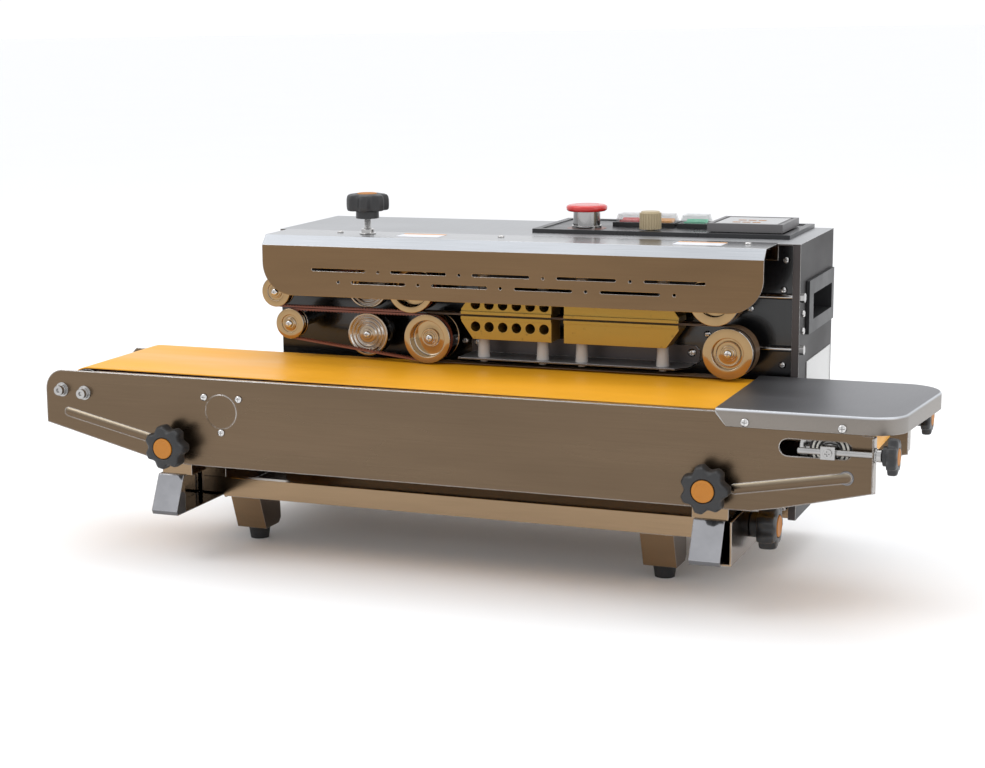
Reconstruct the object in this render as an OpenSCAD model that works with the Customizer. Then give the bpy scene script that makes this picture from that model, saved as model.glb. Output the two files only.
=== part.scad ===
// Continuous band sealer with a height and depth adjustable belt conveyor.
// Drawn from the left end of the conveyor side plate (X = 0), the front face of that plate
// (Y = 0) and the floor (Z = 0), then shifted to the middle of the overall footprint.

/* [Conveyor] */
// Length of the conveyor side plates
plate_len = 808; // [700:1:900]
// Distance from front plate face to rear plate face
conveyor_w = 165.5; // [150:0.5:190]
// Height of the top edge of the side plates
plate_top = 180.5; // [170:0.5:190]
// Height of the straight bottom edge of the side plates
plate_bottom = 95; // [85:1:110]
// Width of the conveyor belt
belt_w = 145; // [120:1:150]
// Thickness of the conveyor belt
belt_t = 1.5; // [1:0.1:3]
// Drive roller radius under the belt
drive_roller_r = 22.5; // [15:0.5:24]
// Tail roller radius under the belt
tail_roller_r = 27; // [20:0.5:28]

/* [End table] */
// Left edge of the fixed end table
table_x0 = 672.5; // [650:0.5:700]
// Outermost tip of the end table
table_x1 = 840; // [820:1:860]
// Height of the end table skirt
table_skirt = 15.5; // [10:0.5:20]

/* [Machine body] */
// Left side of the body
body_x0 = 174.5; // [170:0.5:180]
// Right side of the body
body_x1 = 706.5; // [700:0.5:720]
// Front edge of the right body side
body_y0 = 169.5; // [169:0.5:175]
// Front plane of the black panel behind the wheels
panel_y = 177.5; // [176:0.5:182]
// Back plane of the body
body_y1 = 318; // [300:1:340]
// Underside of the body
body_z0 = 47; // [40:1:50]
// Top of the body
body_z1 = 305.5; // [290:0.5:320]
// Sheet thickness used for the folded covers and frames
sheet = 1.5; // [1:0.1:2]

/* [Sealing head] */
// Height of the line where the upper and lower bands meet
seal_z = 231.75; // [228:0.25:236]
// Radius under the sealing bands of the drive and idler wheels
drum_r = 23.5; // [20:0.5:26]
// Front face of the wheels
wheel_y = 130; // [126:1:134]
// Centre X of the lower drive wheel
drive_lx = 353.8; // [350:0.1:358]
// Centre X of the upper drive wheel
drive_ux = 337; // [333:0.1:341]
// Centre X of the lower idler wheel
idler_lx = 649.9; // [646:0.1:654]
// Centre X of the upper idler wheel
idler_ux = 636.8; // [632:0.1:641]
// Radius of the ringed press wheels
press_r = 21.4; // [18:0.1:23]
// Centre X of the press wheels
press_x = 286.5; // [282:0.1:292]

/* [Hood] */
// Left end of the slotted hood
hood_x0 = 183; // [178:1:190]
// Right end of the slotted hood
hood_x1 = 684.5; // [680:0.5:695]
// Front plane of the hood
hood_y = 118.5; // [110:0.5:125]
// Bottom edge of the hood
hood_z0 = 246.5; // [240:0.5:252]

/* [Knobs] */
// Diameter of the large seven lobe clamping knobs
knob_d = 43; // [36:1:50]
// Diameter of the small belt tension knobs
small_knob_d = 32; // [26:1:36]
// Height of the large knobs
knob_h = 25; // [20:1:32]

/* [Hidden] */
$fn = 64;
origin_x = 420;
origin_y = 147;
foot_mid_x = 389;
foot_mid_y = 196.4;
foot_dx = 210.8;
foot_dy = 90.1;
foot_h = 13.3;
rear_y0 = conveyor_w - sheet;
belt_y0 = 8.5;
run_seat = 0.01;
belt_top = plate_top + 0.5;
drive_roller_x = 44;
drive_roller_z = 159;
tail_roller_x = 770;
tail_roller_z = belt_top - belt_t - tail_roller_r;
gap = 0.3;
lift_x_left = 128;
lift_x_right = 652.4;
lift_w = 32;
lift_z0 = 85;
clamp_z = 115;
rail_w = 27.5;
rail_z0 = 47.5;
rail_z1 = 84.5;
rail_left_x = 125;
rail_right_x = 654.5;
guard_x = 687.2;
rod_y = -6;
rod_r = 2.7;
band_t = 0.5;
band_y = 140;
band_w = 15;
cog_y = 133.3;
cog_w = 5.6;
cog_t = 2.5;
wheel_lz = seal_z - 0.25 - band_t - drum_r;
wheel_uz = seal_z + 0.25 + band_t + drum_r;
cog_drive_r = drum_r + band_t - 0.1 - cog_t;
cog_pulley_r = 12.9;
pulley_lx = 206;
pulley_lz = seal_z - 0.35 - cog_t - cog_pulley_r;
pulley_ux = 191;
pulley_uz = seal_z + 0.35 + cog_t + cog_pulley_r;
press_y = 140.2;
press_lz = seal_z - 2.8 - press_r;
press_uz = seal_z + 1.6 + press_r;
shaft_r = 5;
block_y0 = 136;
block_d = 28;
cool_x0 = 387;
cool_x1 = 478.4;
heat_x0 = 491;
heat_x1 = 602;
block_h = 22;
block_gap = band_t + 0.45;
post_x = [406, 466, 505, 584];
bracket_z = 188.5;
ctrl_x0 = 436;
ctrl_x1 = 688.5;
ctrl_y0 = 205;
ctrl_y1 = 316;
ctrl_h = 4;
ctrl_z = body_z1 + ctrl_h;
link_y = 174;
grip_y0 = 198;
grip_y1 = 311;
grip_z0 = 218.5;
grip_z1 = 268.5;
rail_knob_y = 70;
rail_knob_z = 66;
estop_x = 483;
estop_y = 232;
pressure_x = press_x - 5;
pressure_y = 156;
speed_x = 549;
speed_y = 226;
rocker_x = [517.6, 548.9, 582.7];
rocker_y = 270;
inlet_x = 637;

// ---------- helpers ----------

module at_origin() {
  translate([-origin_x, -origin_y, 0])
    children();
}

// flat profile drawn in X and Z, filled towards the back
module xz(y0, h) {
  translate([0, y0 + h, 0])
    rotate([90, 0, 0])
      linear_extrude(height = h)
        children();
}

// flat profile drawn in Y and Z, filled towards the right
module yz(x0, h) {
  translate([x0, 0, 0])
    rotate([90, 0, 90])
      linear_extrude(height = h)
        children();
}

module box(x0, x1, y0, y1, z0, z1) {
  translate([x0, y0, z0])
    cube([x1 - x0, y1 - y0, z1 - z0]);
}

module ycyl(x, y, z, r, h) {
  translate([x, y, z])
    rotate([-90, 0, 0])
      cylinder(r = r, h = h);
}

module xcyl(x, y, z, r, h) {
  translate([x, y, z])
    rotate([0, 90, 0])
      cylinder(r = r, h = h);
}

module zcyl(x, y, z, r, h) {
  translate([x, y, z])
    cylinder(r = r, h = h);
}

function turn(c, r, a) = [c[0] + r * cos(a), c[1] + r * sin(a)];

// area inside a belt stretched round two circles, its straight runs seated a hair inside them
module loop2d(c1, r1, c2, r2) {
  dx = c2[0] - c1[0];
  dz = c2[1] - c1[1];
  a = atan2(dz, dx);
  b = acos((r1 - r2) / sqrt(dx * dx + dz * dz));
  translate(c1)
    circle(r = r1);
  translate(c2)
    circle(r = r2);
  s1 = r1 - run_seat;
  s2 = r2 - run_seat;
  polygon([turn(c1, s1, a + b), turn(c1, s1, a - b), turn(c2, s2, a - b), turn(c2, s2, a + b)]);
}

module belt_ring2d(c1, r1, c2, r2, t) {
  difference() {
    loop2d(c1, r1 + t, c2, r2 + t);
    loop2d(c1, r1, c2, r2);
  }
}

module obround2d(x0, x1, z, w) {
  translate([x0 + w / 2, z])
    circle(d = w);
  translate([x1 - w / 2, z])
    circle(d = w);
  translate([x0 + w / 2, z - w / 2])
    square([x1 - x0 - w, w]);
}

// pan head screw pointing along +Y, seated at y on a front face
module pan_screw(x, y, z, r, h) {
  difference() {
    ycyl(x, y - h, z, r, h);
    box(x - r * 0.6, x + r * 0.6, y - h - 1, y - h * 0.5, z - r * 0.14, z + r * 0.14);
    box(x - r * 0.14, x + r * 0.14, y - h - 1, y - h * 0.5, z - r * 0.6, z + r * 0.6);
  }
}

// star knob with its axis on +Z, base at z = 0
module star_knob(d, h) {
  lobes = 7;
  lobe_r = d * 0.13;
  hub_h = h * 0.3;
  cap_r = d * 0.215;
  cylinder(r = d * 0.26, h = hub_h + 0.5);
  translate([0, 0, hub_h])
    linear_extrude(height = h * 0.58)
      union() {
        circle(r = d * 0.39);
        for (i = [0 : lobes - 1])
          rotate(i * 360 / lobes)
            translate([d / 2 - lobe_r, 0])
              circle(r = lobe_r);
      }
  // crown with the groove round the cap
  difference() {
    translate([0, 0, hub_h + 1])
      cylinder(r = d * 0.36, h = h * 0.96 - hub_h - 1);
    translate([0, 0, h * 0.92])
      cylinder(r = cap_r, h = h);
  }
  translate([0, 0, hub_h + 2])
    cylinder(r = cap_r - 0.6, h = h - hub_h - 2);
}

module hex_nut(x, y, z, af, h) {
  translate([x, y, z])
    rotate([0, 90, 0])
      cylinder(r = af / sqrt(3), h = h, $fn = 6);
}

// ---------- base ----------

module base_frame() color("silver") at_origin() {
  strip_y = 76.8;
  floor_y0 = strip_y + sheet;
  back_y = body_y1 - sheet;
  tongue_z0 = 50.5;
  tongue_z1 = 81;
  skirt_z1 = 88;
  rail_end = 200;
  left_in = rail_left_x + rail_w;
  difference() {
    union() {
      // floor and lower front skirt of the head
      box(body_x0, body_x1 - sheet, panel_y, back_y, body_z0, body_z0 + sheet);
      box(body_x0, body_x1 - sheet, panel_y, panel_y + sheet, body_z0, skirt_z1);
    }
    box(rail_right_x - 2.5, rail_right_x + rail_w + 3, panel_y - 1, rail_end, body_z0 - 1, rail_z1 + 2);
  }
  // open floor in front of the head
  box(left_in - 2, rail_right_x + 3, floor_y0, panel_y + 1, tongue_z0 - 0.8, tongue_z0 + 0.7);
  // left guide tongue, its web and the foot plate that ties it to the floor
  box(rail_left_x + 4, left_in + 3.5, floor_y0, back_y, tongue_z0, tongue_z1);
  box(left_in + 1.5, left_in + 3.5, floor_y0, back_y, body_z0 - sheet, tongue_z0);
  box(left_in + 1.5, body_x0 + 12, panel_y + 8, 271, body_z0 - sheet, body_z0);
  // right guide tongue
  box(rail_right_x + 2, rail_right_x + rail_w - 4, floor_y0, back_y, tongue_z0, tongue_z1);
  box(rail_right_x + 2, rail_right_x + rail_w - 4, rail_end, back_y, body_z0, tongue_z1);
  // front cross strip with its folded lip
  box(rail_left_x + 6, rail_right_x + rail_w - 6, strip_y, floor_y0, tongue_z0, 66);
  box(left_in + 1.5, rail_right_x - 1.5, strip_y, floor_y0, body_z0, 66);
  box(left_in + 1.5, rail_right_x - 1.5, strip_y, strip_y + 9, 66 - sheet, 66);
}

module rail_guard() color("silver") at_origin() {
  difference() {
    union() {
      box(guard_x, guard_x + sheet, -3, panel_y, 45.3, 84.5);
      box(rail_right_x - 1, guard_x + sheet, -3, panel_y, 45.3, 46.8);
      box(guard_x, body_x1 - 7.5, panel_y - sheet, panel_y, 47, 76);
    }
    xcyl(guard_x - 1, rail_knob_y, rail_knob_z, 4.3, 4);
  }
}

module leg(x, y_front) {
  w = 32;
  top_d = 44;
  lean = 13;
  bot_d = 33;
  h = body_z0 - foot_h;
  translate([x, y_front, foot_h])
    difference() {
      yz(-w / 2, w)
        polygon([[0, h], [top_d, h], [lean + bot_d, 5], [lean + bot_d - 5, 0], [lean, 0]]);
      yz(-w / 2 + sheet, w - 2 * sheet)
        polygon([[sheet, h + 1], [top_d + 3, h + 1], [lean + bot_d + 3, sheet], [lean + sheet, sheet]]);
    }
}

module leg_brackets() color("silver") at_origin() {
  for (x = [foot_mid_x - foot_dx, foot_mid_x + foot_dx]) {
    leg(x, 76.8);
    translate([0, 2 * foot_mid_y, 0])
      mirror([0, 1, 0])
        leg(x, 76.8);
  }
}

module rubber_feet() color("black") at_origin() {
  for (x = [foot_mid_x - foot_dx, foot_mid_x + foot_dx])
    for (y = [foot_mid_y - foot_dy, foot_mid_y + foot_dy])
      translate([x, y, 0])
        cylinder(r1 = 9.2, r2 = 11.2, h = foot_h);
}

// ---------- body ----------

module body_shell() color("silver") at_origin() {
  lip = 7;
  difference() {
    union() {
      box(body_x0, body_x1, panel_y, body_y1, body_z1 - sheet, body_z1);
      box(hood_x1 + 0.5, body_x1, body_y0, body_y1, body_z1 - sheet, body_z1);
      box(body_x0, body_x0 + sheet, panel_y + sheet, body_y1, body_z0 + sheet, body_z1);
      box(body_x1 - sheet, body_x1, body_y0, body_y1, body_z0, body_z1);
      box(body_x1 - lip, body_x1, body_y0, body_y0 + sheet, body_z0, body_z1);
    }
    for (x = [body_x0 - 1, body_x1 - sheet - 1])
      box(x, x + sheet + 2, grip_y0 + 6, grip_y1 - 6, grip_z0 + 5.5, grip_z1 - 5.5);
    for (z = [wheel_lz, wheel_uz])
      xcyl(body_x1 - 4, link_y, z, 2.6, 6);
    box(ctrl_x0 + 10, ctrl_x1 - 10, ctrl_y0 + 10, ctrl_y1 - 10, body_z1 - 5, body_z1 + 1);
  }
}

module front_panel() color("dimgray") at_origin() {
  bore = shaft_r + 1.5;
  difference() {
    box(body_x0, body_x1 - sheet - 0.2, panel_y, panel_y + sheet, 88, body_z1 - sheet - 0.2);
    for (p = [[drive_lx, wheel_lz], [drive_ux, wheel_uz], [press_x, press_lz], [pulley_lx, pulley_lz],
              [pulley_ux, pulley_uz]])
      ycyl(p[0], panel_y - 1, p[1], bore, 5);
    // adjusting slots of the idler shafts
    for (p = [[idler_lx, wheel_lz], [idler_ux, wheel_uz]])
      xz(panel_y - 1, 5)
        obround2d(p[0] - 12, p[0] + 12, p[1], 2 * bore);
    // upright slot of the sprung press shaft
    xz(panel_y - 1, 5)
      translate([press_x, press_uz])
        rotate([0, 0, 90])
          obround2d(-bore - 4, bore + 8, 0, 2 * bore);
  }
}

module rear_cover() color("silver") at_origin() {
  difference() {
    box(body_x0 + sheet, body_x1 - sheet, body_y1 - sheet, body_y1, body_z0 + sheet, body_z1 - sheet);
    for (bank = [250, 560])
      for (i = [0 : 6])
        xz(body_y1 - 3, 5)
          obround2d(bank, bank + 70, 120 + i * 14, 4);
    box(inlet_x - 15, inlet_x + 15, body_y1 - 3, body_y1 + 1, 72, 94);
  }
}

module hood() color("silver") at_origin() {
  corner = 32;
  chamfer_y = 9;
  chamfer_z = 9.5;
  pitch = 84.3;
  difference() {
    yz(hood_x0, hood_x1 - hood_x0)
      polygon([[hood_y, hood_z0], [hood_y, body_z1 - chamfer_z], [hood_y + chamfer_y, body_z1],
               [panel_y, body_z1], [panel_y, body_z1 - 16], [panel_y - sheet, body_z1 - 16],
               [panel_y - sheet, body_z1 - sheet], [hood_y + chamfer_y + 0.7, body_z1 - sheet],
               [hood_y + sheet, body_z1 - chamfer_z - 0.7], [hood_y + sheet, hood_z0]]);
    // rounded lower corners
    for (side = [0, 1])
      translate([side == 0 ? hood_x0 : hood_x1, 0, hood_z0])
        mirror([side, 0, 0])
          xz(hood_y - 1, sheet + 2)
            difference() {
              translate([-1, -1])
                square([corner + 1, corner + 1]);
              translate([corner, corner])
                circle(r = corner);
            }
    for (i = [0 : 4]) {
      xz(hood_y - 1, 4)
        obround2d(237 + i * pitch, 294.5 + i * pitch, 273, 2.8);
      ycyl(265.5 + i * pitch, hood_y - 1, 261.5, 1.5, 4);
    }
    for (i = [0 : 3]) {
      xz(hood_y - 1, 4)
        obround2d(279.5 + i * pitch, 336.5 + i * pitch, 261.5, 2.8);
      ycyl(308 + i * pitch, hood_y - 1, 272.6, 1.5, 4);
    }
    zcyl(pressure_x, pressure_y, body_z1 - 5, 4.5, 10);
  }
}

module grip_cup() {
  difference() {
    union() {
      box(0, 3, grip_y0, grip_y1, grip_z0, grip_z1);
      box(-18, 0, grip_y0 + 6.5, grip_y1 - 6.5, grip_z0 + 6, grip_z1 - 6);
    }
    box(-16, 4, grip_y0 + 18, grip_y1 - 10, grip_z0 + 12, grip_z1 - 14);
  }
}

module side_handles() color("dimgray") at_origin() {
  translate([body_x1, 0, 0])
    grip_cup();
  translate([body_x0, 0, 0])
    mirror([1, 0, 0])
      grip_cup();
}

module rating_plate() color("whitesmoke") at_origin() {
  y0 = 203;
  y1 = 311;
  z0 = 122;
  z1 = 192;
  rim = 2;
  difference() {
    box(body_x1, body_x1 + 0.8, y0, y1, z0, z1);
    box(body_x1 + 0.5, body_x1 + 2, y0 + rim, y1 - rim, z0 + rim, z1 - rim);
  }
}

module control_plate() color("dimgray") at_origin() {
  rim = 7;
  difference() {
    box(ctrl_x0, ctrl_x1, ctrl_y0, ctrl_y1, body_z1, ctrl_z);
    box(ctrl_x0 + rim, ctrl_x1 - rim, ctrl_y0 + rim, ctrl_y1 - rim, ctrl_z - 1, ctrl_z + 1);
    zcyl(estop_x, estop_y, body_z1 - 1, 11.2, 10);
    zcyl(speed_x, speed_y, body_z1 - 1, 3.4, 10);
    for (x = rocker_x)
      box(x - 13, x + 13, rocker_y - 10, rocker_y + 10, body_z1 - 1, ctrl_z + 1);
    box(610, 674, 225, 289, body_z1 - 1, ctrl_z + 1);
  }
}

module estop_collar() color("silver") at_origin() {
  difference() {
    union() {
      zcyl(estop_x, estop_y, ctrl_z - 1, 14.5, 3);
      zcyl(estop_x, estop_y, ctrl_z + 2, 13.2, 14);
      zcyl(estop_x, estop_y, body_z1 - 16, 11, 16 + ctrl_h);
      zcyl(estop_x, estop_y, body_z1 - 30, 14, 14);
    }
    zcyl(estop_x, estop_y, body_z1 - 26, 6.8, 60);
  }
}

// mushroom head, hollow underneath so that it can sink over the collar
module estop_button() color("red") at_origin() {
  head_z = ctrl_z + 16.1;
  recess_h = 3.6;
  translate([estop_x, estop_y, 0]) {
    difference() {
      union() {
        translate([0, 0, head_z])
          cylinder(r1 = 18.5, r2 = 20, h = 1.8);
        translate([0, 0, head_z + 1.8])
          cylinder(r = 20, h = 2.6);
        translate([0, 0, head_z + 4.4])
          cylinder(r1 = 20, r2 = 17.5, h = 2.1);
      }
      translate([0, 0, head_z - 1])
        cylinder(r = 14, h = recess_h + 1);
    }
    translate([0, 0, body_z1 - 18])
      cylinder(r = 6.5, h = head_z + recess_h + 0.5 - body_z1 + 18);
  }
}

module bezel(x) {
  difference() {
    union() {
      box(x - 15.6, x + 15.6, rocker_y - 14, rocker_y + 14, ctrl_z - 1, ctrl_z + 3);
      box(x - 12.8, x + 12.8, rocker_y - 9.8, rocker_y + 9.8, body_z1 - 22, ctrl_z);
    }
    box(x - 11, x + 11, rocker_y - 8.5, rocker_y + 8.5, body_z1 - 12, ctrl_z + 5);
  }
  xcyl(x - 11.5, rocker_y, ctrl_z - 3, 1.2, 23);
}

module switch_bezels() color("dimgray") at_origin() {
  for (x = rocker_x)
    bezel(x);
}

// hollow clear boot over one rocker
module switch_cover(x) {
  wall = 0.8;
  foot_z = ctrl_z + 3;
  cover_h = 8;
  module form(inset, h) {
    intersection() {
      xz(rocker_y - 20, 40)
        polygon([[x - 13.5 + inset, foot_z], [x + 13.5 - inset, foot_z],
                 [x + 11.5 - inset, foot_z + h], [x - 11.5 + inset, foot_z + h]]);
      yz(x - 20, 40)
        polygon([[rocker_y - 11.5 + inset, foot_z], [rocker_y + 11.5 - inset, foot_z],
                 [rocker_y + 9.5 - inset, foot_z + h], [rocker_y - 9.5 + inset, foot_z + h]]);
    }
  }
  difference() {
    form(0, cover_h);
    form(wall, cover_h - wall);
  }
}

module switch_covers() color("white") at_origin() {
  for (x = rocker_x)
    switch_cover(x);
}

module rocker(x) {
  translate([x, rocker_y, ctrl_z - 3])
    difference() {
      yz(-10.6, 21.2)
        polygon([[-7.6, -1.5], [-7.2, 7.5], [0, 5.8], [6.4, 9], [7.6, 3], [3, -5], [-3, -5]]);
      xcyl(-12, 0, 0, 1.25, 24);
    }
}

module rocker_red() color("red") at_origin()
  rocker(rocker_x[0]);

module rocker_amber() color("orange") at_origin()
  rocker(rocker_x[1]);

module rocker_green() color("limegreen") at_origin()
  rocker(rocker_x[2]);

module speed_knob() color("tan") at_origin() {
  ribs = 24;
  translate([speed_x, speed_y, ctrl_z + 0.6]) {
    linear_extrude(height = 15.5)
      union() {
        circle(r = 9.7);
        for (i = [0 : ribs - 1])
          rotate(i * 360 / ribs)
            translate([9.7, 0])
              circle(r = 0.8);
      }
    translate([0, 0, 15.4])
      cylinder(r1 = 9.4, r2 = 8.6, h = 1.6);
    translate([0, 0, -14])
      cylinder(r = 3, h = 14);
  }
}

module temperature_controller() color("gray") at_origin() {
  difference() {
    union() {
      box(606, 678, 221, 293, ctrl_z, ctrl_z + 8);
      box(610.5, 673.5, 225.5, 288.5, body_z1 - 60, ctrl_z);
    }
    box(610, 674, 225, 289, ctrl_z + 7, ctrl_z + 9);
  }
  box(612, 672, 227, 287, ctrl_z + 6.5, ctrl_z + 7.6);
}

module power_inlet() color("dimgray") at_origin() {
  difference() {
    union() {
      box(inlet_x - 25, inlet_x + 25, body_y1, body_y1 + 2.5, 69, 97);
      box(inlet_x - 14.5, inlet_x + 14.5, body_y1 - 22, body_y1, 72.5, 93.5);
    }
    box(inlet_x - 12, inlet_x + 12, body_y1 - 16, body_y1 + 4, 75, 91);
    for (x = [-20, 20])
      ycyl(inlet_x + x, body_y1 - 1, 83, 1.7, 5);
  }
  // three pins, the middle one higher
  for (p = [[-6, 79.5], [0, 84.5], [6, 79.5]])
    box(inlet_x + p[0] - 1, inlet_x + p[0] + 1, body_y1 - 18, body_y1 - 4, p[1], p[1] + 4);
}

// ---------- sealing head ----------

module sealing_bands() color("saddlebrown") at_origin() {
  xz(band_y, band_w)
    belt_ring2d([drive_lx, wheel_lz], drum_r, [idler_lx, wheel_lz], drum_r, band_t);
  xz(band_y, band_w)
    belt_ring2d([drive_ux, wheel_uz], drum_r, [idler_ux, wheel_uz], drum_r, band_t);
}

module guide_belts() color("firebrick") at_origin() {
  xz(cog_y, cog_w)
    belt_ring2d([pulley_lx, pulley_lz], cog_pulley_r, [drive_lx, wheel_lz], cog_drive_r, cog_t);
  xz(cog_y, cog_w)
    belt_ring2d([pulley_ux, pulley_uz], cog_pulley_r, [drive_ux, wheel_uz], cog_drive_r, cog_t);
}

// one lower block; corner cut of the entry side selected by cut_left
module block_body(x0, x1, cut_left, cut_right) {
  top = seal_z - block_gap;
  lip = 5;
  xz(block_y0, block_d)
    polygon([[x0, top], [x1, top], [x1, top - lip + 2], [x0, top - lip + 2]]);
  xz(block_y0 + 1.6, block_d - 1.6)
    polygon([[x0, top - 1], [x1, top - 1], [x1, top - lip], [x1 - cut_right, top - block_h],
             [x0 + cut_left, top - block_h], [x0, top - lip]]);
}

module cooling_block() {
  holes = 6;
  difference() {
    block_body(cool_x0, cool_x1, 12, 0);
    for (i = [0 : holes - 1])
      ycyl(401.6 + i * 13.9, block_y0 - 1, seal_z - 10.8, 4.9, block_d + 2);
  }
}

// the upper blocks mirror the lower ones about the sealing line
module above_line() {
  translate([0, 0, 2 * seal_z])
    mirror([0, 0, 1])
      children();
}

module cooling_blocks() color("goldenrod") at_origin() {
  cooling_block();
  above_line()
    cooling_block();
}

module heating_block() {
  difference() {
    block_body(heat_x0, heat_x1, 0, 12);
    for (x = [515, 575])
      zcyl(x, block_y0 + 20, seal_z - 30, 3.1, 18);
  }
}

module heating_blocks() color("goldenrod") at_origin() {
  heating_block();
  above_line()
    heating_block();
}

module standoff(x) {
  base_z = bracket_z + sheet;
  top_z = seal_z - block_gap - block_h;
  translate([x, block_y0 + 13, base_z])
    cylinder(r1 = 6, r2 = 5.2, h = top_z - base_z);
  translate([x, block_y0 + 13, bracket_z - 3])
    cylinder(r = 3.4, h = 3);
}

module block_standoffs() color("whitesmoke") at_origin() {
  for (x = post_x) {
    standoff(x);
    above_line()
      standoff(x);
  }
}

module bracket() {
  x0 = 383;
  x1 = 612;
  tab = 18;
  xz(panel_y - sheet, sheet)
    polygon([[x0, bracket_z], [x1 - 3, bracket_z], [x1, bracket_z + 3], [x1, bracket_z + tab - 4],
             [x1 - 4, bracket_z + tab], [x0 + 4, bracket_z + tab], [x0, bracket_z + tab - 4]]);
  translate([0, 0, bracket_z])
    linear_extrude(height = sheet)
      polygon([[x0, panel_y], [x0, 138], [x1 - 14, 138], [x1 - 3, panel_y - 24], [x1 - 3, panel_y]]);
}

module block_brackets() color("silver") at_origin() {
  bracket();
  above_line()
    bracket();
}

module front_flange(x, z) {
  difference() {
    ycyl(x, panel_y - 4, z, 12, 4);
    ycyl(x, panel_y - 6, z, shaft_r + 0.05, 10);
  }
}

module bearing_housings() color("dimgray") at_origin() {
  for (p = [[drive_lx, wheel_lz], [drive_ux, wheel_uz], [press_x, press_lz]])
    front_flange(p[0], p[1]);
  for (p = [[pulley_lx, pulley_lz], [pulley_ux, pulley_uz]])
    difference() {
      ycyl(p[0], wheel_y + 14, p[1], 7, panel_y - wheel_y - 14);
      ycyl(p[0], wheel_y + 12, p[1], shaft_r + 0.05, 60);
    }
}

module idler_tension_links() color("silver") at_origin() {
  for (p = [[idler_lx, wheel_lz], [idler_ux, wheel_uz]]) {
    xcyl(p[0] + 11.5, link_y, p[1], 2.4, body_x1 - p[0] - 11.5 + 2);
    difference() {
      box(p[0] - 11, p[0] + 13, link_y - 2.8, panel_y - 0.2, p[1] - 8, p[1] + 8);
      ycyl(p[0], link_y - 5, p[1], shaft_r + 0.05, 12);
    }
    hex_nut(body_x1, link_y, p[1], 8, 4);
  }
}

module gearbox() color("gray") at_origin() {
  box(drive_lx - 35, drive_lx + 35, 206, 246, wheel_lz - 35, wheel_lz + 35);
  for (p = [[-30, -30], [30, -30], [30, 30]])
    ycyl(drive_lx + p[0], panel_y + sheet, wheel_lz + p[1], 4, 206 - panel_y - sheet);
}

module drive_motor() color("gray") at_origin() {
  ycyl(drive_lx, 246, wheel_lz, 33, 10);
  ycyl(drive_lx, 256, wheel_lz, 30, 46);
  ycyl(drive_lx, 302, wheel_lz, 33, 8);
}

module body_screws() color("silver") at_origin() {
  for (p = [[692, 290], [690, 262], [659.5, 243.5], [619, 217.7], [690, 192], [376, 200], [318, 190]])
    pan_screw(p[0], panel_y, p[1], 3.3, 2.4);
  for (x = [390, 605])
    pan_screw(x, panel_y - sheet, bracket_z + 11, 4, 2.6);
  pan_screw(694, panel_y - sheet, 58, 4, 3);
  // side bolts of the right and left covers
  for (z = [240, 224, 120])
    for (side = [0, 1])
      translate([side == 0 ? body_x1 : body_x0, 183, z])
        mirror([side, 0, 0])
          xcyl(0, 0, 0, 3.4, 2.2);
  // hood screws on the top
  for (x = [250, 420, 660])
    zcyl(x, 160, body_z1, 3.2, 1.8);
}

// shaft running back through the front panel
module wheel_shaft(x, z, y0, y1) {
  ycyl(x, y0, z, shaft_r, y1 - y0);
}

module face_screw(x, y, z) {
  ycyl(x, y - 1.2, z, 5.4, 1.2);
  pan_screw(x, y - 1.2, z, 3.6, 2.6);
}

module drive_wheel(x, z) {
  w = 27;
  difference() {
    union() {
      ycyl(x, wheel_y, z, drum_r + 0.4, 3);
      ycyl(x, wheel_y + 2, z, cog_drive_r - gap, 8);
      ycyl(x, wheel_y + 9.4, z, drum_r - gap, w - 10.6);
      ycyl(x, wheel_y + w - 1.6, z, drum_r + 0.4, 2);
    }
    // deep cup turned into the face
    difference() {
      ycyl(x, wheel_y - 1, z, 17.8, 12);
      ycyl(x, wheel_y + 8, z, 9, 6);
    }
  }
  face_screw(x, wheel_y + 8, z);
  wheel_shaft(x, z, wheel_y + w, 205);
  // spur gear on the shaft behind the panel
  ycyl(x, 186, z, 25.2, 9);
  ycyl(x, 195, z, 10, 5);
}

module drive_wheel_lower() color("silver") at_origin()
  drive_wheel(drive_lx, wheel_lz);

module drive_wheel_upper() color("silver") at_origin()
  drive_wheel(drive_ux, wheel_uz);

module idler_wheel(x, z) {
  w = 27;
  difference() {
    union() {
      ycyl(x, wheel_y, z, drum_r, 3);
      ycyl(x, wheel_y + 3, z, drum_r - gap, w - 3);
    }
    difference() {
      ycyl(x, wheel_y - 1, z, 14.6, 7);
      ycyl(x, wheel_y + 2, z, 11.5, 10);
    }
    ycyl(x, wheel_y - 1, z, 11, 4.5);
  }
  ycyl(x, wheel_y + 2.5, z, 7.4, 1.5);
  face_screw(x, wheel_y + 2.5, z);
  wheel_shaft(x, z, wheel_y + w, 186);
  ycyl(x, 186, z, 8, 4);
}

module idler_wheel_lower() color("silver") at_origin()
  idler_wheel(idler_lx, wheel_lz);

module idler_wheel_upper() color("silver") at_origin()
  idler_wheel(idler_ux, wheel_uz);

module press_wheel(x, z, tail) {
  difference() {
    ycyl(x, press_y, z, press_r, 13);
    for (r = [18.4, 14.6, 10.8])
      difference() {
        ycyl(x, press_y - 1, z, r, 2.4);
        ycyl(x, press_y - 2, z, r - 1.9, 5);
      }
  }
  face_screw(x, press_y, z);
  wheel_shaft(x, z, press_y + 13, tail);
}

module press_wheel_lower() color("silver") at_origin() {
  press_wheel(press_x, press_lz, 186);
  ycyl(press_x, 186, press_lz, 8, 4);
}

module press_wheel_upper() color("silver") at_origin() {
  press_wheel(press_x, press_uz, 184);
  ycyl(press_x, 184, press_uz, 6.2, 3);
}

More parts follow.
